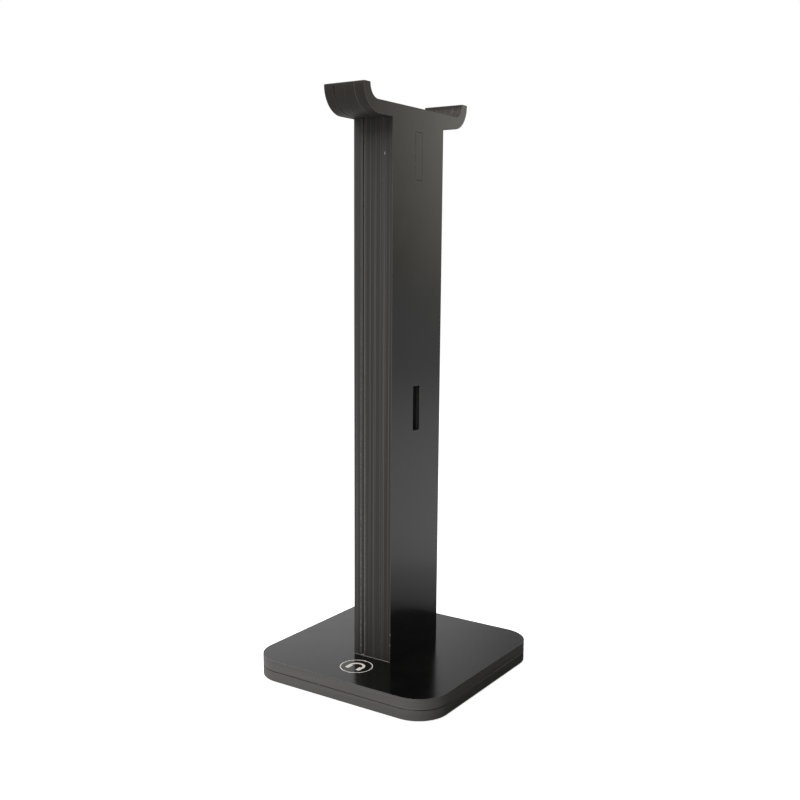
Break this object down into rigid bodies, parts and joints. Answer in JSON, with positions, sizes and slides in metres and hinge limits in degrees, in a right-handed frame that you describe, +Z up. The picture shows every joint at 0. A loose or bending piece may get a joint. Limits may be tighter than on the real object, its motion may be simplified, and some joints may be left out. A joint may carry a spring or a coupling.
{
  "type": "headphone stand",
  "caption": "Free-standing headphone stand cut from black acrylic sheet: square base, upright column with a cable slot, and a cradle with upturned lips for the headband.",
  "frame": {"origin": "on the floor under the middle of the base", "axes": "+Z up; -Y is the front, where the emblem lies; X runs across the four sheets of the upright"},
  "size_m": [0.1, 0.1, 0.2672],
  "materials": {
    "acrylic": "polished faces, satin saw-cut edges",
    "emblem": "matt pale inlay",
    "foot_rubber": "matt moulded rubber",
    "screw_steel": "black oxide",
    "insert_brass": "turned brass"
  },
  "bodies": {
    "root": {"base_lower_sheet": "acrylic", "base_upper_sheet": "acrylic", "upright_left_sheet": "acrylic", "upright_middle_left_sheet": "acrylic", "upright_middle_right_sheet": "acrylic", "upright_right_sheet": "acrylic", "locating_key": "acrylic", "emblem_ring": "emblem", "emblem_sign": "emblem", "foot_front_left": "foot_rubber", "foot_front_right": "foot_rubber", "foot_rear_left": "foot_rubber", "foot_rear_right": "foot_rubber", "post_screw_front": "screw_steel", "post_screw_rear": "screw_steel", "threaded_insert_front": "insert_brass", "threaded_insert_rear": "insert_brass"}
  },
  "joints": []
}
